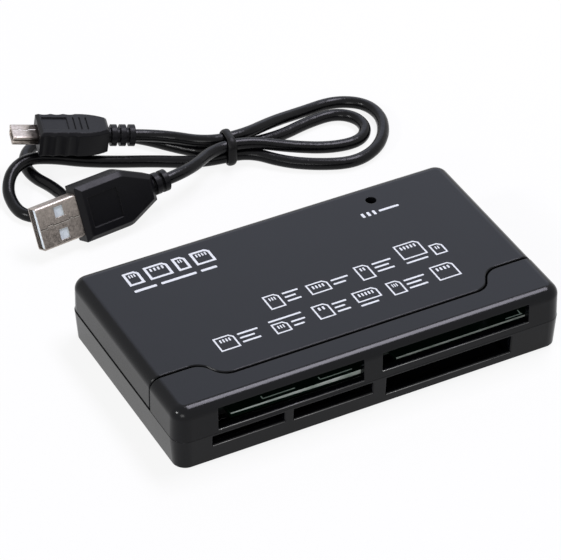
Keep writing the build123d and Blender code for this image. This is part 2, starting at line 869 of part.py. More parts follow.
with BuildPart() as mini_plug_contacts:
    with BuildSketch(mini_frame.offset(-mini_core_slot / 2)):
        with Locations(((mini_core_length + mini_plug_reach) / 2, 0)):
            with GridLocations(0, usb_contact_pitch, 1, usb_contact_count):
                Rectangle(mini_contact_length, usb_contact_pitch / 2)
    extrude(amount=contact_thick / 2)
save(mini_plug_contacts.part, "mini_plug_contacts")

with BuildPart() as mini_plug_grip:
    with BuildSketch(mini_frame.offset(-mini_grip_height / 2)):
        half = mini_grip_width / 2
        neck = mini_grip_neck / 2
        shoulder = mini_plug_reach + mini_grip_straight
        with BuildLine():
            Polyline((mini_plug_reach, 0), (mini_plug_reach, half), (shoulder, half))
            TangentArc((shoulder, half), (mini_grip_end, neck), tangent=(1, 0))
            Line((mini_grip_end, neck), (mini_grip_end, 0))
            mirror(about=Plane.XZ)
        make_face()
        # Scallops along both sides
        with Locations((mini_plug_reach + mini_grip_straight / 2, 0)):
            scallop_spread = mini_grip_width + 2 * (scallop_radius - panel_depth)
            with GridLocations(scallop_pitch, scallop_spread, scallop_count, 2):
                Circle(scallop_radius, mode=Mode.SUBTRACT)
    extrude(amount=mini_grip_height)
    broad = mini_plug_grip.faces().sort_by(Axis(mini_frame.origin, mini_frame.z_dir))
    chamfer(broad[0].edges() + broad[-1].edges(), mini_grip_bevel)
    for level, cut in ((mini_grip_height / 2, -panel_depth), (-mini_grip_height / 2, panel_depth)):
        with BuildSketch(mini_frame.offset(level)):
            with Locations((mini_plug_reach + mini_panel_setback, 0)):
                Rectangle(mini_panel_length, mini_panel_width)
            with Locations((shoulder, 0)):
                with GridLocations(groove_pitch, 0, groove_count, 1):
                    Rectangle(groove_width, mini_panel_width)
        extrude(amount=cut, mode=Mode.SUBTRACT)
    add(strain_relief(mini_frame, mini_grip_end, mini_ring_count))
save(mini_plug_grip.part, "mini_plug_grip")

# Tie round the four strands of the hank
tie_along = Vector(cos(radians(tie_turn)), sin(radians(tie_turn)), 0)
tie_aside = Vector(-tie_along.Y, tie_along.X, 0)
strand_pitch = cable_diameter + strand_gap
tie_inner = strand_pitch + cable_diameter + 2 * tie_gap
tie_outer = tie_inner + 2 * tie_thick
tie_middle = Vector(*tie_place, tie_outer / 2)

with BuildPart() as cable_tie:
    band_plane = Plane(tie_middle, x_dir=tie_aside, z_dir=tie_along)
    with BuildSketch(band_plane):
        RectangleRounded(tie_outer, tie_outer, cable_diameter / 2 + tie_gap + tie_thick)
        RectangleRounded(tie_inner, tie_inner, cable_diameter / 2 + tie_gap, mode=Mode.SUBTRACT)
    extrude(amount=tie_width / 2, both=True)
save(cable_tie.part, "cable_tie")


def strand(row, layer, side):
    """Point of the route beside the tie: row 1 at the back, -1 at the front, layer 1 on top, -1 below."""
    offset_aside = tie_aside * (row * strand_pitch / 2)
    offset_along = tie_along * (side * tie_straight)
    return tie_middle + offset_aside + offset_along + Vector(0, 0, layer * strand_pitch / 2)


# Route of the cable from the small plug, through the tie four times, to the large plug
route = [
    mini_frame.from_local_coords(Vector(mini_plug_end, 0, 0)),
    mini_frame.from_local_coords(Vector(mini_plug_end + lead_out, 0, 0)),
    strand(1, 1, -1),
    strand(1, 1, 1),
    Vector(32.5, 87.6, 4.8),
    Vector(44.0, 90.9, 2.4),
    Vector(54.6, 92.2, 1.85),
    Vector(62.2, 87.4, 1.85),
    Vector(63.6, 79.4, 1.85),
    Vector(59.8, 70.8, 1.85),
    Vector(53.4, 64.9, 1.85),
    Vector(45.4, 62.8, 1.85),
    Vector(36.4, 66.4, 1.85),
    Vector(28.2, 71.9, 2.0),
    strand(-1, -1, 1),
    strand(-1, -1, -1),
    Vector(3.6, 84.6, 2.0),
    Vector(-4.6, 89.6, 1.9),
    Vector(-13.4, 93.8, 1.9),
    Vector(-22.4, 97.4, 2.8),
    Vector(-30.2, 100.4, 4.7),
    Vector(-37.4, 101.8, 6.0),
    Vector(-43.4, 99.2, 5.4),
    Vector(-47.0, 94.4, 3.2),
    Vector(-47.8, 88.5, 1.8),
    Vector(-47.0, 82.9, 1.8),
    Vector(-42.4, 79.4, 1.8),
    Vector(-36.8, 80.2, 1.8),
    Vector(-33.4, 84.8, 1.8),
    Vector(-34.6, 91.6, 1.8),
    Vector(-37.4, 98.2, 1.8),
    Vector(-37.4, 105.0, 1.8),
    Vector(-33.8, 111.0, 1.8),
    Vector(-27.2, 113.4, 1.8),
    Vector(-18.4, 112.2, 1.8),
    Vector(-9.6, 107.6, 1.8),
    Vector(-1.4, 100.2, 1.8),
    Vector(4.8, 92.0, 1.9),
    strand(1, -1, -1),
    strand(1, -1, 1),
    Vector(33.0, 83.8, 1.9),
    Vector(43.0, 86.2, 1.85),
    Vector(52.0, 86.6, 1.85),
    Vector(56.8, 82.0, 1.85),
    Vector(56.8, 75.6, 1.85),
    Vector(52.0, 71.0, 1.85),
    Vector(43.0, 72.0, 1.9),
    Vector(32.0, 75.2, 3.9),
    strand(-1, 1, 1),
    strand(-1, 1, -1),
    usb_frame.from_local_coords(Vector(usb_plug_end + lead_out, 0, 0)),
    usb_frame.from_local_coords(Vector(usb_plug_end, 0, 0)),
]
runs = [after - before for before, after in zip(route, route[1:])]
bend_radii = [
    bend_share * min(before.length, after.length) / tan(radians(before.get_angle(after)) / 2)
    for before, after in zip(runs, runs[1:])
]
print("cable bend radii:", [round(radius, 1) for radius in bend_radii])

with BuildPart() as cable:
    with BuildLine() as path:
        FilletPolyline(*route, radius=bend_radii)
    with BuildSketch(Plane(route[0], z_dir=runs[0])):
        Circle(cable_diameter / 2)
    sweep()
save(cable.part, "cable")

cable_length = path.wire().length
cable_section = pi * cable_diameter**2 / 4
print("cable length:", round(cable_length, 1))
print("cable volume over section times length:", round(cable.part.volume / (cable_section * cable_length), 4))
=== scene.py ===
import math

import bmesh
import bpy
import numpy as np
from bpy.props import FloatProperty, FloatVectorProperty, PointerProperty
from mathutils import Matrix, Vector


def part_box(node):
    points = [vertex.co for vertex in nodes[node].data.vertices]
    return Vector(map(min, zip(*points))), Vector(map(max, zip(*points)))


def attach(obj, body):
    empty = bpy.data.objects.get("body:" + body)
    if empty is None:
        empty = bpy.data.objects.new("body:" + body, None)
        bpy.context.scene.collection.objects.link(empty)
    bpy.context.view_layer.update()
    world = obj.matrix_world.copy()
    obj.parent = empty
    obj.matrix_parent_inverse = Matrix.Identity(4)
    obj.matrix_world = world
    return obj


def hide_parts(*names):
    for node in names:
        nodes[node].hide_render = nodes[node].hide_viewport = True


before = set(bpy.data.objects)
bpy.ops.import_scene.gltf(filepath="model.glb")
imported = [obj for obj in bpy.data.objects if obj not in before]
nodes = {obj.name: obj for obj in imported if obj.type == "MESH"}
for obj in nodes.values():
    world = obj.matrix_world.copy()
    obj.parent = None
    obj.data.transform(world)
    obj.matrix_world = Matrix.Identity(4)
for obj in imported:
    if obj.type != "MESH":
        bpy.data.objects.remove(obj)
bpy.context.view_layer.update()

bl_info = {
    "name": "Memory card reader looks",
    "version": (1, 0, 0),
    "blender": (4, 5, 0),
    "location": "3D view, sidebar, Card reader",
    "description": "Finishes a memory card reader and its tied lead around a fixed frame",
    "category": "Object",
}

MM = 0.001
BODY = "root"


def linear(hex_colour):
    """Turn an sRGB hex colour into linear red, green, blue and alpha."""
    parts = np.array([int(hex_colour[at : at + 2], 16) for at in (0, 2, 4)]) / 255
    values = np.where(parts <= 0.04045, parts / 12.92, ((parts + 0.055) / 1.055) ** 2.4)
    return (*values.tolist(), 1.0)


# Settings that a user would change
def colour_setting(name, hex_colour, description):
    """Colour setting from an sRGB hex value."""
    return FloatVectorProperty(
        name=name,
        description=description,
        default=linear(hex_colour),
        size=4,
        min=0,
        max=1,
        subtype="COLOR",
    )


def size_setting(name, millimetres, description):
    """Length setting from millimetres."""
    return FloatProperty(
        name=name, description=description, default=millimetres * MM, min=0, unit="LENGTH"
    )


def angle_setting(name, degrees, description):
    """Angle setting from degrees."""
    return FloatProperty(
        name=name, description=description, default=math.radians(degrees), subtype="ANGLE"
    )


class CaseSettings(bpy.types.PropertyGroup):
    """Finish of the two case shells."""

    colour: colour_setting("Plastic", "0a0b0e", "Colour of the moulded case")
    sheen: FloatProperty(
        name="Roughness",
        description="Roughness of the moulded skin",
        default=0.16,
        min=0,
        max=1,
        subtype="FACTOR",
    )
    grain: size_setting("Grain", 0.35, "Width of one grain of the moulded skin")


class PrintSettings(bpy.types.PropertyGroup):
    """Printed marks on the cover and on the circuit board."""

    ink: colour_setting("Ink", "e4e8ea", "Colour of the marks on the cover")
    film: size_setting("Film", 0.03, "Thickness of the ink film")


class LeadSettings(bpy.types.PropertyGroup):
    """Cable and plugs."""

    diameter: size_setting("Cable", 3.5, "Outer diameter of the cable")
    jacket: colour_setting("Jacket", "09090b", "Colour of the cable's jacket")
    grip: colour_setting("Grips", "0c0c0f", "Colour of the plugs' grips")
    plating: colour_setting("Plating", "aba29b", "Colour of the plated plug shells")


class StageSettings(bpy.types.PropertyGroup):
    """Camera and floor."""

    azimuth: angle_setting("Azimuth", -27.338, "Turn of the camera about the reader")
    elevation: angle_setting("Elevation", 37.831, "Height of the camera above the floor")
    roll: angle_setting("Roll", -0.133, "Roll of the camera")
    distance: size_setting("Distance", 847.78, "Camera to the point looked at")
    lens: FloatProperty(
        name="Lens", description="Focal length on a 36 mm sensor", default=205.43, unit="CAMERA"
    )
    floor: colour_setting("Floor", "f4f4f4", "Colour of the floor")


class ReaderSettings(bpy.types.PropertyGroup):
    """All settings of the reader."""

    case: PointerProperty(type=CaseSettings)
    print: PointerProperty(type=PrintSettings)
    lead: PointerProperty(type=LeadSettings)
    stage: PointerProperty(type=StageSettings)


# Meshes from grids of points. Points nearer to each other than this, in metres, become one
MERGE = 1e-6


def ring_faces(rows, columns):
    """Quads between neighbouring rows of a grid whose columns close into a ring."""
    row, column = np.meshgrid(np.arange(rows - 1), np.arange(columns), indexing="ij")
    after = (column + 1) % columns
    here, there = row * columns, (row + 1) * columns
    corners = [here + column, here + after, there + after, there + column]
    return np.stack(corners, axis=-1).reshape(-1, 4)


def make_piece(name, grids, surface, smooth=True):
    """Object from grids of shape (shape, row, column, 3) in metres, each closed round its columns.

    Points that meet at poles and seams are merged, and the faces are turned outwards.
    """
    shapes, rows, columns, _ = grids.shape
    starts = np.arange(shapes) * rows * columns
    faces = ring_faces(rows, columns)[None] + starts[:, None, None]
    mesh = bpy.data.meshes.new(name)
    mesh.from_pydata(grids.reshape(-1, 3).tolist(), [], faces.reshape(-1, 4).tolist())
    work = bmesh.new()
    work.from_mesh(mesh)
    bmesh.ops.remove_doubles(work, verts=work.verts, dist=MERGE)
    bmesh.ops.recalc_face_normals(work, faces=work.faces)
    work.to_mesh(mesh)
    work.free()
    mesh.polygons.foreach_set("use_smooth", [smooth] * len(mesh.polygons))
    piece = bpy.data.objects.new(name, mesh)
    bpy.context.scene.collection.objects.link(piece)
    mesh.materials.append(surface)
    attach(piece, BODY)
    return piece


def rounded_outline(width, height, corner, steps=4):
    """Outlines of rectangles with round corners, counter-clockwise.

    Each point is its corner's centre plus the corner's radius times a direction.
    """
    turn = np.linspace(0, np.pi / 2, steps)
    angle = (turn[None] + np.arange(4)[:, None] * np.pi / 2).ravel()
    side = np.repeat(np.array([[1, 1], [-1, 1], [-1, -1], [1, -1]]), steps, axis=0)
    reach = np.stack([width / 2 - corner, height / 2 - corner], axis=-1)
    arc = np.stack([np.cos(angle), np.sin(angle)], axis=-1)
    return side * reach[..., None, :] + corner[..., None, None] * arc


def right_of(ring):
    """Unit directions to the right of the way round an outline: its run at each point, turned."""
    ahead = np.roll(ring, -1, axis=0) - np.roll(ring, 1, axis=0)
    aside = np.stack([ahead[:, 1], -ahead[:, 0]], axis=1)
    return aside / np.linalg.norm(aside, axis=1, keepdims=True)


# Thin plates and frames: a plate's corner radius as a share of its shorter side, and how deep they
# sink into what carries them as a share of what stands above it
PLATE_CORNER = 0.3
SINK = -0.3


def raised(flat, level, film, shares):
    """Flat grids of x and y with a height for each row: the level plus a share of the film."""
    height = level + film * np.array(shares)
    height = np.broadcast_to(height[None, :, None, None], (*flat.shape[:3], 1))
    return np.concatenate([flat, height], axis=-1)


def thin_plates(plates, level, film):
    """Thin closed plates, each a pole, the rim above, the rim below and a pole.

    A plate is given by its middle's x and y, its width and its height, in millimetres.
    """
    plates = np.asarray(plates, float) * MM
    corner = PLATE_CORNER * np.minimum(plates[:, 2], plates[:, 3])
    rim = rounded_outline(plates[:, 2], plates[:, 3], corner) + plates[:, None, :2]
    middle = np.broadcast_to(plates[:, None, :2], rim.shape)
    flat = np.stack([middle, rim, rim, middle], axis=1)
    return raised(flat, level, film, [1, 1, SINK, SINK])


def thin_frames(frames, level, film):
    """Thin closed frames, each a rectangle's outline with its upper right corner cut off.

    A frame is given by its left, foot, width, height, cut and stroke, in millimetres. The inner rim
    lies one stroke inside the outer one, moved beside the cut by the tangent of 22.5 degrees.
    """
    left, foot, width, height, cut, stroke = (np.asarray(frames, float) * MM).T
    rims = []
    for inset in (np.zeros_like(stroke), stroke):
        bend = inset * math.tan(math.pi / 8)
        x = [inset, width - inset, width - inset, width - cut - bend, inset]
        y = [inset, inset, height - cut - bend, height - inset, height - inset]
        rims.append(np.stack([left + np.array(x), foot + np.array(y)], axis=-1).swapaxes(0, 1))
    outer, inner = rims
    flat = np.stack([outer, outer, inner, inner, outer], axis=1)
    return raised(flat, level, film, [SINK, 1, 1, SINK, SINK])


BEAD_SIDES = 12


def beads(left, right, aside, out, radius):
    """Fine beads along the first axis: a circle carried from left to right, with pointed ends."""
    turn = np.linspace(0, 2 * np.pi, BEAD_SIDES, endpoint=False)
    reach = radius * np.array([0, 1, 1, 0])[None, :, None]
    along = np.stack([left, left, right, right], axis=1)[..., None] + 0 * turn
    across = aside[:, None, None] + reach * np.cos(turn)
    rise = out[:, None, None] + reach * np.sin(turn)
    return np.stack([along, across, rise], axis=-1)


# Materials. Most of a noise pattern's values lie between these two
NOISE_LOW = 0.3
NOISE_HIGH = 0.7


def add_node(tree, kind, settings=None, inputs=None):
    """Add a node with its settings and its inputs, each a value or the socket linked into it."""
    made = tree.nodes.new(kind)
    for key, value in (settings or {}).items():
        setattr(made, key, value)
    for key, value in (inputs or {}).items():
        if isinstance(value, bpy.types.NodeSocket):
            tree.links.new(value, made.inputs[key])
        else:
            made.inputs[key].default_value = value
    return made


def new_material(name, **inputs):
    """Material with one principled shader; returns the material, its node tree and the shader."""
    surface = bpy.data.materials.new(name)
    surface.use_nodes = True
    tree = surface.node_tree
    tree.nodes.clear()
    shader = add_node(tree, "ShaderNodeBsdfPrincipled", inputs=inputs)
    add_node(tree, "ShaderNodeOutputMaterial", inputs={"Surface": shader.outputs["BSDF"]})
    return surface, tree, shader


def mottle(tree, size, low=0.0, high=1.0, detail=2.0):
    """Noise on object coordinates with blotches of a size in metres, spread from low to high."""
    place = add_node(tree, "ShaderNodeTexCoord")
    noise = add_node(
        tree,
        "ShaderNodeTexNoise",
        inputs={"Vector": place.outputs["Object"], "Scale": 1 / size, "Detail": detail},
    )
    spread = {
        "Value": noise.outputs["Fac"],
        "From Min": NOISE_LOW,
        "From Max": NOISE_HIGH,
        "To Min": low,
        "To Max": high,
    }
    return add_node(tree, "ShaderNodeMapRange", inputs=spread).outputs["Result"]


def blend_colours(tree, share, first, second):
    """Colour between two, by a share from 0 to 1."""
    mix = add_node(tree, "ShaderNodeMix", {"data_type": "RGBA"}, {0: share, 6: first, 7: second})
    return mix.outputs[2]


def shade(colour, share):
    """Colour times a share, alpha kept."""
    return (*[part * share for part in colour[:3]], colour[3])


def vary_colour(tree, shader, size, first, second, detail=2.0):
    """Base colour that drifts from one to another in blotches of a size."""
    share = mottle(tree, size, detail=detail)
    tree.links.new(blend_colours(tree, share, first, second), shader.inputs["Base Color"])


def vary_roughness(tree, shader, size, low, high):
    """Roughness that drifts from low to high in blotches of a size."""
    tree.links.new(mottle(tree, size, low, high), shader.inputs["Roughness"])


def add_grain(tree, shader, size, depth, edge=0.0):
    """Normal bumped by a grain of a size and depth, with the edges softened over a radius."""
    bump = add_node(
        tree,
        "ShaderNodeBump",
        inputs={"Height": mottle(tree, size), "Distance": depth, "Strength": 1.0},
    )
    if edge:
        bevel = add_node(tree, "ShaderNodeBevel", {"samples": 4}, {"Radius": edge})
        tree.links.new(bevel.outputs["Normal"], bump.inputs["Normal"])
    tree.links.new(bump.outputs["Normal"], shader.inputs["Normal"])


def moulded_skin(name, colour, roughness, grain, depth, specular=0.35, edge=0.0, ior=1.5):
    """Moulded plastic, rubber, resin or ceramic: a near even colour, a drifting gloss and a grain.

    The grain is drawn wider than a real one, which is too fine to show.
    """
    surface, tree, shader = new_material(name, **{"IOR": ior, "Specular IOR Level": specular})
    vary_colour(tree, shader, size=14 * MM, first=shade(colour, 0.88), second=shade(colour, 1.12))
    vary_roughness(tree, shader, size=6 * MM, low=roughness - 0.03, high=roughness + 0.03)
    add_grain(tree, shader, grain, depth, edge)
    return surface


def plated_sheet(name, colour, edge):
    """Nickel plate on pressed steel: warm grey, reflecting unevenly from small dull blotches."""
    surface, tree, shader = new_material(name, Metallic=1.0)
    dull, bright = shade(colour, 0.72), shade(colour, 1.12)
    vary_colour(tree, shader, size=0.55 * MM, first=dull, second=bright, detail=4.0)
    vary_roughness(tree, shader, size=0.8 * MM, low=0.3, high=0.46)
    add_grain(tree, shader, size=0.3 * MM, depth=0.01 * MM, edge=edge)
    return surface


def plain_metal(name, hex_colour, roughness):
    """Small drawn or stamped metal piece: a little uneven in colour and gloss."""
    surface, tree, shader = new_material(name, Metallic=1.0)
    colour = linear(hex_colour)
    vary_colour(tree, shader, size=0.4 * MM, first=shade(colour, 0.85), second=colour)
    vary_roughness(tree, shader, size=0.6 * MM, low=roughness - 0.06, high=roughness + 0.06)
    return surface


# Front edge of the circuit board, in millimetres: depth of the cut face, the two ends of the left
# slot, and how far the pale band reaches down at those ends and in the right slot. It is bare
# glass, and in the left slot partly a painted highlight that deepens it to the right
CUT_FACE = 0.03
LEFT_SLOT = (-40, -4)
LEFT_GLASS_AND_HIGHLIGHT = (0.35, 1.2)
RIGHT_GLASS = 0.6


def board_laminate():
    """Glass laminate under green solder mask, darkened to almost black as painted shade, with pale
    bare glass on its front edge.

        The mask laps over that edge, so the glass is a band below the top face. In the left slot
        the band widens to the right as a painted highlight, lighter where the edge catches more
        light; in the right slot it is even.
    right in the left slot and is even in the right slot.
    """
    surface, tree, shader = new_material(
        "green_masked_glass_laminate", **{"IOR": 1.5, "Specular IOR Level": 0.15}
    )
    low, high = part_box("circuit_board")
    place = add_node(tree, "ShaderNodeTexCoord")
    parts = add_node(
        tree, "ShaderNodeSeparateXYZ", inputs={"Vector": place.outputs["Object"]}
    ).outputs
    front = add_node(
        tree,
        "ShaderNodeMath",
        {"operation": "LESS_THAN"},
        {0: parts["Y"], 1: low.y + CUT_FACE * MM},
    ).outputs[0]
    # Painted highlight: in the left slot the glass band deepens to the right, where the edge
    # catches more light
    left_glass_and_highlight = add_node(
        tree,
        "ShaderNodeMapRange",
        inputs={
            "Value": parts["X"],
            "From Min": LEFT_SLOT[0] * MM,
            "From Max": LEFT_SLOT[1] * MM,
            "To Min": LEFT_GLASS_AND_HIGHLIGHT[0] * MM,
            "To Max": LEFT_GLASS_AND_HIGHLIGHT[1] * MM,
        },
    ).outputs["Result"]
    on_right = add_node(
        tree, "ShaderNodeMath", {"operation": "GREATER_THAN"}, {0: parts["X"], 1: 0.0}
    ).outputs[0]
    band = add_node(
        tree, "ShaderNodeMix", inputs={0: on_right, 2: left_glass_and_highlight, 3: RIGHT_GLASS * MM}
    ).outputs[0]
    depth = add_node(
        tree, "ShaderNodeMath", {"operation": "SUBTRACT"}, {0: high.z, 1: parts["Z"]}
    ).outputs[0]
    shallow = add_node(
        tree, "ShaderNodeMath", {"operation": "LESS_THAN"}, {0: depth, 1: band}
    ).outputs[0]
    bare = add_node(
        tree, "ShaderNodeMath", {"operation": "MULTIPLY"}, {0: front, 1: shallow}
    ).outputs[0]
    # Painted shade: the mask's green is darkened to near black for the shade inside the slots
    mask = blend_colours(tree, mottle(tree, 0.5 * MM), linear("04100a"), linear("081a11"))
    glass = blend_colours(tree, mottle(tree, 4 * MM), linear("b9c8bd"), linear("f2faf4"))
    tree.links.new(blend_colours(tree, bare, mask, glass), shader.inputs["Base Color"])
    vary_roughness(tree, shader, size=0.7 * MM, low=0.3, high=0.45)
    return surface


def print_ink(name, colour):
    """Printed ink: a pale film with a soft sheen, a little thin in places."""
    surface, tree, shader = new_material(name, IOR=1.45)
    vary_colour(tree, shader, size=0.6 * MM, first=shade(colour, 0.9), second=colour)
    vary_roughness(tree, shader, size=1.5 * MM, low=0.5, high=0.6)
    return surface


def cable_jacket(name, colour):
    """Extruded vinyl: black and smooth, with a long highlight that wanders along the run."""
    surface, tree, shader = new_material(name, **{"IOR": 1.5, "Specular IOR Level": 0.15})
    vary_colour(tree, shader, size=9 * MM, first=shade(colour, 0.8), second=shade(colour, 1.2))
    vary_roughness(tree, shader, size=5 * MM, low=0.2, high=0.28)
    add_grain(tree, shader, size=2.2 * MM, depth=0.04 * MM)
    return surface


def dress(surface, *names):
    """Give CAD nodes a material."""
    for name in names:
        mesh = nodes[name].data
        mesh.materials.clear()
        mesh.materials.append(surface)


# Case: lower lips of the slots, in millimetres, as left end, right end and height, and the radius
# of the beads along them
SLOT_LIPS = [
    (-44.4, -3.0, 10.55),
    (2.3, 45.5, 11.65),
    (-45.9, -25.7, 5.7),
    (-23.0, -0.4, 5.25),
    (3.7, 40.5, 3.2),
]
LIP_BEAD = 0.13


def lip_beads(front_at):
    """Beads along the slots' lower lips, each on the case's front just below its slot."""
    left, right, height = np.array(SLOT_LIPS).T
    height = height - 2 * LIP_BEAD
    front = np.array([front_at(x, z) for x, z in zip((left + right) / 2, height)])
    return beads(left, right, front, height, LIP_BEAD) * MM


# Lead: the same places as in the CAD source, in millimetres
UP = np.array([0.0, 0.0, 1.0])


def plug_axes(turn, pitch, roll):
    """Unit directions of a plug as rows: back along it, across it and out of its broad face.

    The angles are in degrees: the turn about the upright, the rise along it and the roll about it.
    """
    turn, pitch, roll = np.radians([turn, pitch, roll])
    level = np.array([np.cos(turn), np.sin(turn), 0.0])
    aside = np.array([-level[1], level[0], 0.0])
    along = level * np.cos(pitch) + UP * np.sin(pitch)
    face = np.cross(along, aside) * np.cos(roll) - aside * np.sin(roll)
    return np.stack([along, np.cross(face, along), face])


# Plugs: the middle of the mouth, the directions, the far end of the grip back from the mouth, the
# height of the shell, and for the small plug the shell's reach and the slot in its core
USB_TIP = np.array([-49.8, 67.2, 8.35])
USB_AXES = plug_axes(6.4, 0.0, 65.0)
USB_END = 41.2
USB_HEIGHT = 4.5
MINI_TIP = np.array([-40.5, 105.3, 12.8])
MINI_AXES = plug_axes(-15.3, -8.6, 0.0)
MINI_END = 35.1
MINI_HEIGHT = 3.0
MINI_REACH = 7.3
MINI_SLOT = np.array([4.5, 1.2])

# Cable: its straight run out of a plug
LEAD_OUT = 8.0

# Tie: its middle and directions, half of the straight run through it, and the strands' spacing
TIE_MIDDLE = np.array([15.7, 82.2, 4.7])
TIE_AXES = plug_axes(-6.0, 0.0, 0.0)
TIE_STRAIGHT = 5.5
STRAND_PITCH = 3.6


def on_plug(local, tip, axes):
    """Places in metres of points in a plug's own frame: its tip plus each axis times its part."""
    return (tip + local @ axes) * MM


def strand(row, layer, side):
    """Route point beside the tie: row 1 at the back, layer 1 on top, side 1 to the right."""
    along, aside, _ = TIE_AXES
    return TIE_MIDDLE + (aside * row + UP * layer) * STRAND_PITCH / 2 + along * side * TIE_STRAIGHT


def cable_route():
    """Route of the cable from the small plug, through the tie four times, to the large plug."""
    return [
        MINI_TIP + MINI_AXES[0] * MINI_END,
        MINI_TIP + MINI_AXES[0] * (MINI_END + LEAD_OUT),
        strand(1, 1, -1),
        strand(1, 1, 1),
        (32.5, 87.6, 4.8),
        (44.0, 90.9, 2.4),
        (54.6, 92.2, 1.85),
        (62.2, 87.4, 1.85),
        (63.6, 79.4, 1.85),
        (59.8, 70.8, 1.85),
        (53.4, 64.9, 1.85),
        (45.4, 62.8, 1.85),
        (36.4, 66.4, 1.85),
        (28.2, 71.9, 2.0),
        strand(-1, -1, 1),
        strand(-1, -1, -1),
        (3.6, 84.6, 2.0),
        (-4.6, 89.6, 1.9),
        (-13.4, 93.8, 1.9),
        (-22.4, 97.4, 2.8),
        (-30.2, 100.4, 4.7),
        (-37.4, 101.8, 6.0),
        (-43.4, 99.2, 5.4),
        (-47.0, 94.4, 3.2),
        (-47.8, 88.5, 1.8),
        (-47.0, 82.9, 1.8),
        (-42.4, 79.4, 1.8),
        (-36.8, 80.2, 1.8),
        (-33.4, 84.8, 1.8),
        (-34.6, 91.6, 1.8),
        (-37.4, 98.2, 1.8),
        (-37.4, 105.0, 1.8),
        (-33.8, 111.0, 1.8),
        (-27.2, 113.4, 1.8),
        (-18.4, 112.2, 1.8),
        (-9.6, 107.6, 1.8),
        (-1.4, 100.2, 1.8),
        (4.8, 92.0, 1.9),
        strand(1, -1, -1),
        strand(1, -1, 1),
        (33.0, 83.8, 1.9),
        (43.0, 86.2, 1.85),
        (52.0, 86.6, 1.85),
        (56.8, 82.0, 1.85),
        (56.8, 75.6, 1.85),
        (52.0, 71.0, 1.85),
        (43.0, 72.0, 1.9),
        (32.0, 75.2, 3.9),
        strand(-1, 1, 1),
        strand(-1, 1, -1),
        USB_TIP + USB_AXES[0] * (USB_END + LEAD_OUT),
        USB_TIP + USB_AXES[0] * USB_END,
    ]


def lay_cable(surface, diameter):
    """Cable: a round section along a curve that the route's points pull."""
    points = np.array([np.asarray(point, float) for point in cable_route()]) * MM
    curve = bpy.data.curves.new("lead_cable", "CURVE")
    curve.dimensions = "3D"
    curve.resolution_u = 12
    curve.bevel_depth = diameter / 2
    curve.bevel_resolution = 6
    curve.use_fill_caps = True
    spline = curve.splines.new("NURBS")
    spline.points.add(len(points) - 1)
    spline.points.foreach_set("co", np.column_stack([points, np.ones(len(points))]).ravel())
    spline.order_u = 3
    spline.use_endpoint_u = True
    curve.materials.append(surface)
    cable = bpy.data.objects.new("lead_cable", curve)
    bpy.context.scene.collection.objects.link(cable)
    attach(cable, BODY)
    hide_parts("cable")


# Joints of the plugs' folded sheets, on the broad face at a level, in millimetres: straight runs as
# start, end and place across, hooked steps as place along and two ends across, and the bars' rise
USB_SEAM = {
    "tip": USB_TIP,
    "axes": USB_AXES,
    "level": USB_HEIGHT / 2,
    "runs": [
        (0.1, 2.3, -0.3),
        (2.45, 4.0, 0.25),
        (4.3, 9.2, -0.1),
        (9.35, 10.2, 0.3),
        (10.35, 12.3, -0.05),
    ],
    "steps": [(2.38, -0.3, 0.25), (4.15, -0.45, 0.25), (9.28, -0.1, 0.3), (10.28, -0.35, 0.3)],
}
MINI_SEAM = {
    "tip": MINI_TIP,
    "axes": MINI_AXES,
    "level": MINI_HEIGHT / 2,
    "runs": [(0.5, 1.7, 0.1), (2.0, 2.9, 0.55), (3.2, 4.5, 0.1), (4.8, 6.9, 0.5)],
    "steps": [(1.85, 0.1, 0.5), (3.05, 0.1, 0.5), (4.65, 0.1, 0.5)],
}
SEAM_RISE = 0.02


def sheet_seam(name, seam, offset, width, surface):
    """Thin raised bars along a seam's runs and steps, moved across the plug by an offset."""
    bars = [((start + end) / 2, y + offset, end - start, width) for start, end, y in seam["runs"]]
    bars += [(x, (low + high) / 2 + offset, width, high - low) for x, low, high in seam["steps"]]
    local = thin_plates(bars, seam["level"] * MM, SEAM_RISE * MM) / MM
    grids = on_plug(local, seam["tip"], seam["axes"])
    return make_piece(name, grids, surface, smooth=False)


# Right half of the small plug's outline from the top down, across the plug and out of its face
PINCHED_HALF = [
    (1.4, 1.5), (2.8, 1.5), (3.12, 1.44), (3.33, 1.28), (3.4, 1.0), (3.38, 0.72),
    (3.24, 0.52), (2.96, 0.36), (2.84, 0.2), (2.82, 0.02), (2.9, -0.16), (3.02, -0.36),
    (3.04, -0.7), (2.92, -1.06), (2.7, -1.36), (2.4, -1.48), (1.2, -1.5),
]

# The small plug's sheet rolled over at its mouth: places back from the mouth and insets
MINI_ROLL = [
    (MINI_REACH + 0.6, 0.0), (0.2, 0.0), (0.06, 0.04), (0.0, 0.13), (0.06, 0.24), (0.3, 0.28),
    (MINI_REACH, 0.28),
]

# Core of the small plug: inset of its outline, its front back from the mouth, and how far its rear
# and the end of its slot stop short of the shell's
CORE_INSET = 0.3
CORE_FRONT = 0.6
CORE_SHORT = 0.1
SLOT_SHORT = 0.4


def pinched_outline(inset):
    """Outline of the small plug, wide above, pinched at the waist and narrower below.

    It runs clockwise, and each point moves to its right, inwards, by the inset.
    """
    half = np.array(PINCHED_HALF)
    ring = np.concatenate([half, half[::-1] * (-1, 1)])
    return ring + inset * right_of(ring)


def carried_outline(rows):
    """Outlines at places back from the small plug's mouth, joined and closed to end points."""
    grid = np.stack([np.column_stack([np.full(len(each), back), each]) for back, each in rows])
    ends = np.repeat(grid[[0, -1]].mean(axis=1, keepdims=True), grid.shape[1], axis=1)
    return on_plug(np.concatenate([ends[:1], grid, ends[1:]]), MINI_TIP, MINI_AXES)[None]


def mini_shell(surface):
    """Small plug's shell: its outline carried to the mouth, over its edge and back inside."""
    grids = carried_outline([(back, pinched_outline(inset)) for back, inset in MINI_ROLL])
    piece = make_piece("mini_shell", grids, surface)
    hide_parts("mini_plug_shell")
    return piece


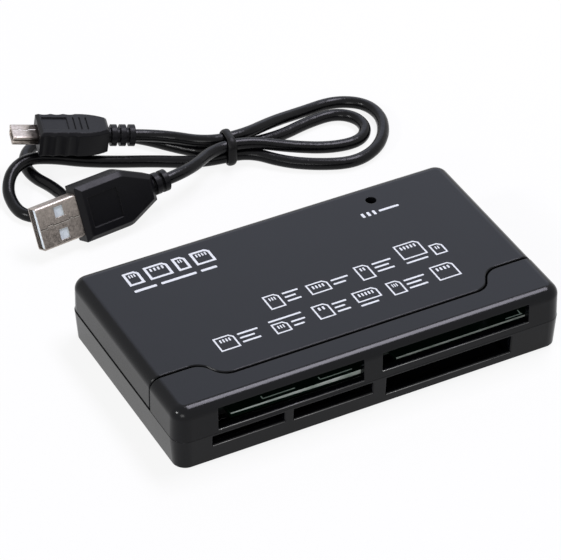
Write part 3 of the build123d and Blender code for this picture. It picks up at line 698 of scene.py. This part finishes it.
def mini_core(surface):
    """Small plug's insulator: its outline set in, flat in front, with a slot for the contacts."""
    outline = pinched_outline(CORE_INSET)
    slot = np.clip(2 * outline, -MINI_SLOT / 2, MINI_SLOT / 2)
    rows = [
        (MINI_REACH - CORE_SHORT, outline),
        (CORE_FRONT, outline),
        (CORE_FRONT, slot),
        (MINI_REACH - SLOT_SHORT, slot),
    ]
    piece = make_piece("mini_core", carried_outline(rows), surface, smooth=False)
    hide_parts("mini_plug_insulator")
    return piece


def mini_groove_shade(surface):
    """Painted shade in the folds of the two pinched sides of the small plug's shell: a dark bead
    along each waist.
    """
    waist = np.array([2.78, -2.78])
    start, end, height = np.full(2, 0.3), np.full(2, MINI_REACH), np.full(2, 0.1)
    lines = beads(start, end, waist, height, radius=0.2)
    return make_piece("mini_groove_shade", on_plug(lines, MINI_TIP, MINI_AXES), surface)


# Tie band, in millimetres: side and corner radius of the square that it follows, half its width and
# thickness, how much its width and its place along the strands vary on the way round, and the
# number of sides of its section
TIE_SIDE = np.array([8.3])
TIE_CORNER = np.array([2.6])
TIE_HALF_WIDTH = 1.25
TIE_HALF_THICKNESS = 0.55
TIE_UNEVEN = 0.12
TIE_WAVE = 0.22
TIE_SIDES = 20


def tie_band(surface):
    """Tie: an oval section carried round a square with round corners, wavy and uneven in width."""
    outline = rounded_outline(TIE_SIDE, TIE_SIDE, TIE_CORNER, steps=9)[0]
    turn = np.linspace(0, 2 * np.pi, len(outline), endpoint=False)
    section = np.linspace(0, 2 * np.pi, TIE_SIDES, endpoint=False)
    width = TIE_HALF_WIDTH + TIE_UNEVEN * np.cos(2 * turn + 0.6)
    shift = TIE_WAVE * np.sin(turn + 0.8)
    along = shift[:, None] + width[:, None] * np.sin(section)
    out = TIE_HALF_THICKNESS * np.cos(section)[None, :, None] * right_of(outline)[:, None]
    grid = np.concatenate([along[..., None], outline[:, None] + out], axis=-1)
    grid = on_plug(np.concatenate([grid, grid[:1]]), TIE_MIDDLE, TIE_AXES)
    piece = make_piece("tie_band", grid[None], surface)
    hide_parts("cable_tie")
    return piece


# Printed marks, in millimetres: a bar's stroke, and in a card picture the cut corner, the margin
# beside the contacts, and the contacts' height and the drop of their middle from the top
LINE = 0.62
CARD_CUT = 1.1
CONTACT_MARGIN = 1.1
CONTACT_HEIGHT = 1.3
CONTACT_DROP = 1.75

# Card pictures: left, foot, width, height and number of contacts
TITLE_CARDS = [
    (-43.6, 20.2, 4.4, 5.6, 3),
    (-37.6, 20.2, 6.6, 5.6, 4),
    (-29.4, 20.2, 3.6, 5.6, 2),
    (-24.2, 20.2, 5.6, 5.6, 4),
]
ROW_CARDS = [
    (-15.6, -5.4, 4.4, 5.8, 3),
    (-3.4, -4.8, 6.0, 4.4, 4),
    (11.2, -5.6, 4.0, 6.2, 2),
    (24.8, -2.8, 7.2, 6.4, 5),
    (33.4, -4.8, 3.6, 4.6, 2),
    (-34.6, -14.8, 5.6, 5.6, 4),
    (-18.8, -15.0, 4.4, 4.2, 3),
    (-6.3, -14.8, 4.6, 5.8, 2),
    (5.6, -13.2, 7.0, 4.4, 5),
    (15.4, -14.8, 4.0, 5.6, 3),
    (28.8, -14.8, 6.6, 6.2, 4),
]

# Bars beside the card pictures: the left end, then each bar's middle height and length
CARD_LINES = [
    (-10.2, (-0.6, 4.6), (-2.3, 3.2), (-4.0, 4.0)),
    (3.6, (-1.6, 5.0), (-3.3, 3.6)),
    (16.4, (-0.4, 5.6), (-2.1, 4.2), (-3.8, 5.0)),
    (24.8, (-4.3, 6.4)),
    (-28.0, (-10.2, 5.8), (-11.9, 4.2), (-13.6, 5.2)),
    (-18.8, (-9.6, 9.4)),
    (-13.4, (-12.0, 4.0), (-13.7, 3.0)),
    (-0.8, (-10.4, 4.2), (-12.1, 3.0), (-13.8, 3.8)),
    (5.6, (-14.6, 5.2)),
    (20.4, (-10.4, 6.0), (-12.1, 4.4), (-13.8, 5.4)),
]


def bars_at(left, *rows):
    """Thin bars that start at one side: each row gives the middle height and the length."""
    return [(left + length / 2, middle, length, LINE) for middle, length in rows]


def contacts_in(left, foot, width, height, count):
    """Row of short upright contacts near the top of a card picture, half as wide as their pitch."""
    pitch = (width - 2 * CONTACT_MARGIN) / count
    start = left + CONTACT_MARGIN
    middle = foot + height - CONTACT_DROP
    return [
        (start + (at + 0.5) * pitch, middle, 0.5 * pitch, CONTACT_HEIGHT) for at in range(count)
    ]


def card_frames(cards, stroke):
    """Outlines of the card pictures."""
    return [(left, foot, width, height, CARD_CUT, stroke) for left, foot, width, height, _ in cards]


def title_bars():
    """Contacts of the first card pictures and a broken line below them."""
    contacts = [bar for card in TITLE_CARDS for bar in contacts_in(*card)]
    parts = ((-43.6, 6.4), (-35.9, 10.2), (-24.4, 4.6))
    middle = 17.7
    stroke = 0.9
    return contacts + [(left + length / 2, middle, length, stroke) for left, length in parts]


def card_bars():
    """Contacts of the card pictures in two rows and the thin bars beside them."""
    contacts = [bar for card in ROW_CARDS for bar in contacts_in(*card)]
    return contacts + [bar for line in CARD_LINES for bar in bars_at(*line)]


def light_marks():
    """Three short upright bars and a long level one below the access light."""
    middle = 19.3
    stroke = 0.8
    first, pitch, rise = 24.6, 1.7, 1.9
    upright = [(first + at * pitch, middle, stroke, rise) for at in range(3)]
    return upright + [(32.4, middle, 6.0, stroke)]


def board_marks():
    """Thin corner lines of ink beside the board's front edge, seen through the upper slots."""
    line = 0.28
    # Brackets: left end, place in depth, length and the rise of the short side
    brackets = [(-29.8, -27.95, 9.2, 1.1), (-13.45, -27.95, 9.2, 1.1)]
    plates = [(left + width / 2, y, width, line) for left, y, width, _ in brackets]
    plates += [(left, y + rise / 2, line, rise) for left, y, _, rise in brackets]
    return plates + [(45.4, -27.5, line, 1.6), (43.3, -28.4, 5.0, line)]


# Stage: the point looked at and half the floor's side in metres, the camera's sensor in
# millimetres, the share of plain white in the floor that the eye sees, and the strength of the
# light from all round
LOOK_AT = Vector((-2.188, 15.590, 9.52)) * MM
FLOOR_HALF = 4.0
SENSOR = 36.0
FLOOR_WHITE = 0.88
ROUND_LIGHT = 0.1
WHITE = (1, 1, 1, 1)


# Operators
class READER_OT_stage(bpy.types.Operator):
    """Set the camera, the floor, the lamps and the world"""

    bl_idname = "card_reader.stage"
    bl_label = "Stage"

    def execute(self, context):
        settings = context.scene.card_reader.stage
        context.scene.view_settings.view_transform = "Standard"
        self.make_camera(context, settings)
        self.make_floor(context, settings.floor)
        self.make_world(context)
        # Behind, for the cool sheen on the top
        self.add_lamp(
            context,
            "rear_softbox",
            place=(0.6, 1.2, 0.86),
            target=LOOK_AT,
            size=(1.2, 0.8),
            power=3.6,
            hex_colour="d6e0ff",
        )
        # Above and facing down, for the light along the front edge
        self.add_lamp(
            context,
            "top_softbox",
            place=(0.5, 0.2, 1.2),
            target=(0.5, 0.21, 0),
            size=(0.36, 0.75),
            power=15.5,
            hex_colour="f2efff",
        )
        # At the left, for the spark on the front corner
        self.add_lamp(
            context,
            "left_lamp",
            place=(-1.0, -0.03, 0.69),
            target=LOOK_AT,
            size=(0.16, 0.16),
            power=4.5,
            hex_colour="ffffff",
        )
        # In front, to reach into the slots
        self.add_lamp(
            context,
            "front_softbox",
            place=(-0.75, -0.9, 0.5),
            target=LOOK_AT,
            size=(0.5, 0.5),
            power=4.0,
            hex_colour="ffffff",
        )
        return {"FINISHED"}

    def make_camera(self, context, settings):
        """Camera at a distance from the point looked at, turned, raised and rolled."""
        azimuth, elevation, roll = settings.azimuth, settings.elevation, settings.roll
        aside, ahead = math.sin(azimuth), -math.cos(azimuth)
        flat = math.cos(elevation)
        back = Vector((aside * flat, ahead * flat, math.sin(elevation)))
        level = Vector((0, 0, 1)).cross(back).normalized()
        rise = back.cross(level)
        right = level * math.cos(roll) + rise * math.sin(roll)
        data = bpy.data.cameras.new("camera")
        data.sensor_fit = "HORIZONTAL"
        data.sensor_width = SENSOR
        data.lens = settings.lens
        camera = bpy.data.objects.new("camera", data)
        turned = Matrix((right, back.cross(right), back)).transposed().to_4x4()
        camera.matrix_world = Matrix.Translation(LOOK_AT + back * settings.distance) @ turned
        context.scene.collection.objects.link(camera)
        context.scene.camera = camera

    def add_lamp(self, context, name, place, target, size, power, hex_colour):
        """Rectangular soft lamp that faces a point."""
        data = bpy.data.lights.new(name, "AREA")
        data.shape = "RECTANGLE"
        data.size, data.size_y = size
        data.energy = power
        data.color = linear(hex_colour)[:3]
        lamp = bpy.data.objects.new(name, data)
        lamp.location = place
        facing = Vector(target) - Vector(place)
        lamp.rotation_euler = facing.to_track_quat("-Z", "Y").to_euler()
        context.scene.collection.objects.link(lamp)

    def seen(self, tree):
        """1 for rays of the camera, reflections and clear materials, 0 for light on a surface."""
        path = add_node(tree, "ShaderNodeLightPath")
        first = add_node(
            tree,
            "ShaderNodeMath",
            {"operation": "MAXIMUM"},
            {0: path.outputs["Is Camera Ray"], 1: path.outputs["Is Glossy Ray"]},
        )
        return add_node(
            tree,
            "ShaderNodeMath",
            {"operation": "MAXIMUM"},
            {0: first.outputs[0], 1: path.outputs["Is Transmission Ray"]},
        ).outputs[0]

    def make_floor(self, context, colour):
        """Flat pale floor, white to the eye, that keeps a part of the object's shadow."""
        surface = bpy.data.materials.new("pale_paper_sweep")
        surface.use_nodes = True
        tree = surface.node_tree
        tree.nodes.clear()
        matt = add_node(tree, "ShaderNodeBsdfDiffuse", inputs={"Color": tuple(colour)})
        glow = add_node(tree, "ShaderNodeEmission", inputs={"Color": WHITE, "Strength": 1.0})
        share = add_node(
            tree,
            "ShaderNodeMath",
            {"operation": "MULTIPLY"},
            {0: self.seen(tree), 1: FLOOR_WHITE},
        )
        mix = add_node(
            tree,
            "ShaderNodeMixShader",
            inputs={0: share.outputs[0], 1: matt.outputs["BSDF"], 2: glow.outputs["Emission"]},
        )
        add_node(tree, "ShaderNodeOutputMaterial", inputs={"Surface": mix.outputs[0]})
        half = FLOOR_HALF
        corners = [(-half, -half, 0), (half, -half, 0), (half, half, 0), (-half, half, 0)]
        mesh = bpy.data.meshes.new("floor")
        mesh.from_pydata(corners, [], [(0, 1, 2, 3)])
        mesh.materials.append(surface)
        floor = bpy.data.objects.new("floor", mesh)
        context.scene.collection.objects.link(floor)

    def make_world(self, context):
        """Even soft light from all round, white to the eye."""
        world = bpy.data.worlds.new("studio")
        world.use_nodes = True
        tree = world.node_tree
        tree.nodes.clear()
        fill = add_node(
            tree, "ShaderNodeBackground", inputs={"Color": WHITE, "Strength": ROUND_LIGHT}
        )
        white = add_node(tree, "ShaderNodeBackground", inputs={"Color": WHITE, "Strength": 1.0})
        mix = add_node(
            tree,
            "ShaderNodeMixShader",
            inputs={
                0: self.seen(tree),
                1: fill.outputs["Background"],
                2: white.outputs["Background"],
            },
        )
        add_node(tree, "ShaderNodeOutputWorld", inputs={"Surface": mix.outputs[0]})
        context.scene.world = world


class READER_OT_lead(bpy.types.Operator):
    """Lay the cable, tie it and finish its plugs"""

    bl_idname = "card_reader.lead"
    bl_label = "Lead"

    def execute(self, context):
        settings = context.scene.card_reader.lead
        jacket = cable_jacket("extruded_black_vinyl", tuple(settings.jacket))
        # Rubber: black, dull and a little grained
        rubber = moulded_skin(
            "moulded_black_rubber",
            linear("09090a"),
            roughness=0.4,
            grain=0.5 * MM,
            depth=0.02 * MM,
            specular=0.15,
        )
        tie = tie_band(rubber)
        # Soft vinyl: black with a low gloss on its softened edges
        grip = moulded_skin(
            "moulded_black_vinyl",
            tuple(settings.grip),
            roughness=0.36,
            grain=0.4 * MM,
            depth=0.012 * MM,
            specular=0.6,
            edge=0.4 * MM,
            ior=1.2,
        )
        dress(grip, "usb_plug_grip", "mini_plug_grip")
        plating = plated_sheet(
            "nickel_plated_pressed_steel", tuple(settings.plating), edge=0.12 * MM
        )
        dress(plating, "usb_plug_shell")
        small = mini_shell(plating)
        # Nylon: milky white in the large plug and dull black in the small one
        white = moulded_skin(
            "white_moulded_nylon",
            linear("dfe9ee"),
            roughness=0.5,
            grain=0.5 * MM,
            depth=0.01 * MM,
        )
        dress(white, "usb_plug_insulator")
        dark = moulded_skin(
            "black_moulded_nylon",
            linear("0a0a0b"),
            roughness=0.5,
            grain=0.5 * MM,
            depth=0.01 * MM,
            specular=0.15,
        )
        core = mini_core(dark)
        gold = plain_metal("gold_flashed_contact", "d6b36a", roughness=0.3)
        dress(gold, "usb_plug_contacts", "mini_plug_contacts")
        # Edges of the folded sheet: one in shade and one rubbed bright. The dark one is also
        # painted shade in the small plug's folds
        shade_edge = plain_metal("dark_seam_and_painted_groove_shade", "3a3531", roughness=0.5)
        bright_edge = plain_metal("burnished_sheet_edge", "e2dcd4", roughness=0.35)
        extras = [
            sheet_seam("usb_seam_gap", USB_SEAM, offset=0.19, width=0.18, surface=shade_edge),
            sheet_seam("usb_seam_edge", USB_SEAM, offset=0.0, width=0.2, surface=bright_edge),
            sheet_seam("mini_seam_gap", MINI_SEAM, offset=0.2, width=0.2, surface=shade_edge),
            sheet_seam("mini_seam_edge", MINI_SEAM, offset=0.0, width=0.2, surface=bright_edge),
        ]
        extras += [mini_groove_shade(shade_edge), core, small, tie]
        lay_cable(jacket, settings.diameter)
        return {"FINISHED"}


class READER_OT_case(bpy.types.Operator):
    """Finish the two case shells"""

    bl_idname = "card_reader.case"
    bl_label = "Case"

    def execute(self, context):
        settings = context.scene.card_reader.case
        # Satin ABS: near black, with a clear but soft reflection and softened edges
        skin = moulded_skin(
            "satin_moulded_abs",
            tuple(settings.colour),
            settings.sheen,
            settings.grain,
            depth=0.003 * MM,
            specular=0.8,
            edge=0.25 * MM,
            ior=1.2,
        )
        dress(skin, "bottom_shell", "top_cover")
        # ABS rubbed smooth where cards slide in: a bright thin line
        gloss = moulded_skin(
            "burnished_abs_edge",
            tuple(settings.colour),
            roughness=0.3,
            grain=settings.grain,
            depth=0.001 * MM,
            specular=1.0,
            ior=1.7,
        )
        make_piece("slot_lips", lip_beads(self.front_at), gloss)
        return {"FINISHED"}

    def front_at(self, x, z):
        """Depth of the case's front at a place, in millimetres, by a ray from in front of it."""
        hit, place, _, _ = nodes["bottom_shell"].ray_cast((x * MM, -1.0, z * MM), (0, 1, 0))
        if not hit:
            raise RuntimeError("the case has no front there")
        return place.y / MM


class READER_OT_circuit(bpy.types.Operator):
    """Finish the circuit board, its sockets and its parts"""

    bl_idname = "card_reader.circuit"
    bl_label = "Circuit"

    def execute(self, context):
        settings = context.scene.card_reader.print
        dress(board_laminate(), "circuit_board")
        self.finish_sockets()
        self.finish_parts()
        board_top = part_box("circuit_board")[1].z
        ink = print_ink("pale_screen_printed_ink", linear("dcf2e6"))
        marks = thin_plates(board_marks(), board_top, settings.film)
        make_piece("board_marks", marks, ink, smooth=False)
        return {"FINISHED"}

    def finish_sockets(self):
        """Dull black polymer bodies, gold springs and pins, and bright tinned covers."""
        polymer = moulded_skin(
            "black_moulded_liquid_crystal_polymer",
            linear("0a0a0b"),
            roughness=0.6,
            grain=0.5 * MM,
            depth=0.02 * MM,
            specular=0.15,
        )
        dress(polymer, "pin_header", "wide_frame", "stick_block", "thin_block")
        dress(polymer, "micro_body", "usb_socket_tongue")
        gold = plain_metal("gold_flashed_spring", "d6b36a", roughness=0.3)
        dress(gold, "header_pins", "wide_contacts", "stick_contacts", "thin_contacts")
        dress(gold, "micro_contacts", "usb_socket_contacts")
        tin = plain_metal("tinned_pressed_steel", "b8b8b4", roughness=0.35)
        dress(tin, "micro_cover", "usb_socket_shell", "crystal")

    def finish_parts(self):
        """Tinned legs, zinc-plated screws, dull black chips, tan ceramic and a dark clear light."""
        legs = plain_metal("tinned_copper_lead", "c4c4c0", roughness=0.35)
        dress(legs, "chip_legs", "regulator_legs")
        zinc = plain_metal("zinc_plated_steel", "9c9c98", roughness=0.4)
        dress(zinc, "board_screws")
        resin = moulded_skin(
            "black_moulded_epoxy",
            linear("151517"),
            roughness=0.6,
            grain=0.3 * MM,
            depth=0.01 * MM,
        )
        dress(resin, "controller_chip", "regulator", "chip_resistors")
        ceramic = moulded_skin(
            "fired_ceramic", linear("8a6f52"), roughness=0.5, grain=0.3 * MM, depth=0.005 * MM
        )
        dress(ceramic, "chip_capacitors")
        smoked = moulded_skin(
            "smoked_clear_resin", linear("0b0b0c"), roughness=0.3, grain=0.5 * MM, depth=0.004 * MM
        )
        dress(smoked, "access_light")


class READER_OT_print(bpy.types.Operator):
    """Print the white marks on the cover"""

    bl_idname = "card_reader.print"
    bl_label = "Print"

    def execute(self, context):
        settings = context.scene.card_reader.print
        ink = print_ink("white_pad_print_ink", tuple(settings.ink))
        cover_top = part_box("top_cover")[1].z
        bars = {
            "title_bars": title_bars(),
            "card_bars": card_bars(),
            "light_marks": light_marks(),
        }
        frames = {
            "title_cards": card_frames(TITLE_CARDS, stroke=0.7),
            "row_cards": card_frames(ROW_CARDS, stroke=0.45),
        }
        for name, plates in bars.items():
            grids = thin_plates(plates, cover_top, settings.film)
            make_piece(name, grids, ink, smooth=False)
        for name, cards in frames.items():
            grids = thin_frames(cards, cover_top, settings.film)
            make_piece(name, grids, ink, smooth=False)
        return {"FINISHED"}


class READER_PT_panel(bpy.types.Panel):
    """Sidebar panel with the reader's steps and settings"""

    bl_idname = "READER_PT_panel"
    bl_label = "Memory card reader"
    bl_space_type = "VIEW_3D"
    bl_region_type = "UI"
    bl_category = "Card reader"

    def draw(self, context):
        settings = context.scene.card_reader
        steps = (
            (READER_OT_stage, settings.stage),
            (READER_OT_lead, settings.lead),
            (READER_OT_case, settings.case),
            (READER_OT_circuit, settings.print),
            (READER_OT_print, settings.print),
        )
        for operator, group in steps:
            box = self.layout.box()
            box.operator(operator.bl_idname)
            for name in group.__annotations__:
                box.prop(group, name)


CLASSES = (
    CaseSettings,
    PrintSettings,
    LeadSettings,
    StageSettings,
    ReaderSettings,
    READER_OT_stage,
    READER_OT_lead,
    READER_OT_case,
    READER_OT_circuit,
    READER_OT_print,
    READER_PT_panel,
)


def register():
    for each in CLASSES:
        bpy.utils.register_class(each)
    bpy.types.Scene.card_reader = PointerProperty(type=ReaderSettings)


def unregister():
    del bpy.types.Scene.card_reader
    for each in reversed(CLASSES):
        bpy.utils.unregister_class(each)


def main():
    register()
    bpy.ops.card_reader.stage()
    bpy.ops.card_reader.lead()
    bpy.ops.card_reader.case()
    bpy.ops.card_reader.circuit()
    bpy.ops.card_reader.print()


if __name__ == "__main__":
    main()
